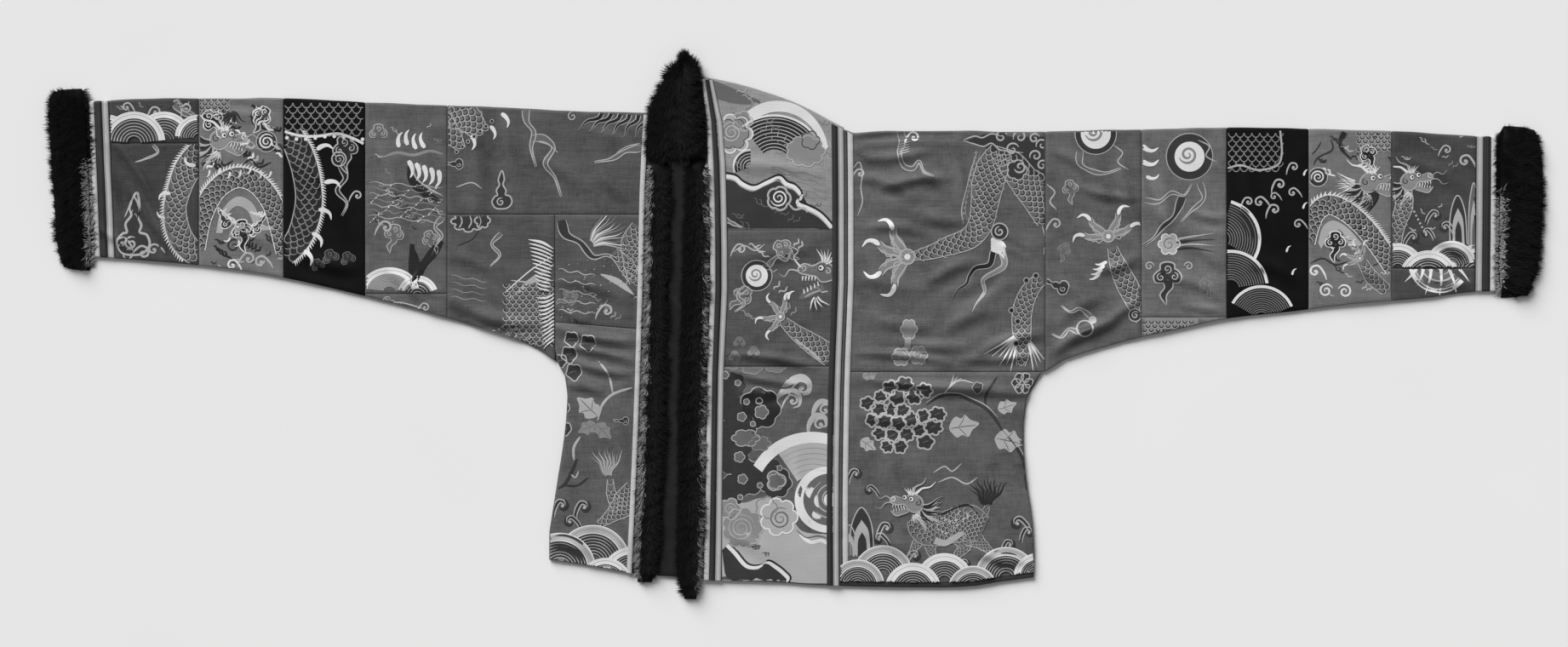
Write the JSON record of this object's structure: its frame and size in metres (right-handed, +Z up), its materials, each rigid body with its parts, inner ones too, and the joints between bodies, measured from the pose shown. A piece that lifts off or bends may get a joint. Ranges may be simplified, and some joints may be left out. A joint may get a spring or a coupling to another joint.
{
  "type": "short front-opening dragon-robe patchwork jacket laid flat",
  "caption": "Short silk jacket with very long sleeves, pieced from dragon-robe cloth, with fur cuffs, collar and front edges and ribbon bands, laid flat.",
  "frame": {"origin": "centre of the laid-out outline, on the surface that the jacket lies on", "axes": "+X along the sleeves, +Y from the hem to the neck, +Z up out of the surface; the front faces +Z"},
  "size_m": [1.9001, 0.689, 0.0176],
  "materials": {
    "mid_silk": "woven silk satin with metal-thread figures, soft sheen, mid grey",
    "pale_silk": "woven silk satin with close figures, paler grey",
    "black_silk": "black silk satin with pale woven figures",
    "dark_satin": "plain dark satin ribbon, soft sheen",
    "striped_ribbon": "mid-grey ribbon with fine lengthwise stripes",
    "pale_braid": "pale braid with a small dotted weave",
    "black_fur": "dense black fur, grey underfur along one edge"
  },
  "bodies": {
    "root": {"left_sleeve_1": "mid_silk", "left_sleeve_1_scroll": "mid_silk", "left_sleeve_2": "pale_silk", "left_sleeve_3": "black_silk", "left_sleeve_4": "mid_silk", "left_sleeve_4_gusset": "mid_silk", "right_sleeve_1": "mid_silk", "right_sleeve_2": "pale_silk", "right_sleeve_2_gusset": "mid_silk", "right_sleeve_3": "black_silk", "right_sleeve_4": "pale_silk", "right_sleeve_5": "mid_silk", "right_sleeve_5_wave": "mid_silk", "left_cuff_braid_ribbon": "pale_braid", "left_cuff_dark_ribbon": "dark_satin", "left_cuff_striped_ribbon": "striped_ribbon", "left_cuff_fur": "black_fur", "right_cuff_braid_ribbon": "pale_braid", "right_cuff_dark_ribbon": "dark_satin", "right_cuff_striped_ribbon": "striped_ribbon", "right_cuff_fur": "black_fur", "left_yoke": "mid_silk", "left_yoke_side": "mid_silk", "left_yoke_front": "mid_silk", "right_yoke": "mid_silk", "left_front": "mid_silk", "right_front": "mid_silk", "right_hem_binding": "dark_satin", "left_back": "mid_silk", "right_back": "mid_silk", "inset_upper": "pale_silk", "inset_middle": "mid_silk", "inset_lower": "mid_silk", "left_front_braid": "pale_braid", "right_band_braid": "pale_braid", "right_band_dark_ribbon": "dark_satin", "right_band_striped_ribbon": "striped_ribbon", "inner_band_dark_ribbon": "dark_satin", "inner_band_striped_ribbon": "striped_ribbon", "inner_band_cord_ribbon": "dark_satin", "inner_band_braid_ribbon": "pale_braid", "front_satin": "dark_satin", "left_front_fur": "black_fur", "right_front_fur": "black_fur", "collar_fur": "black_fur"}
  },
  "joints": []
}
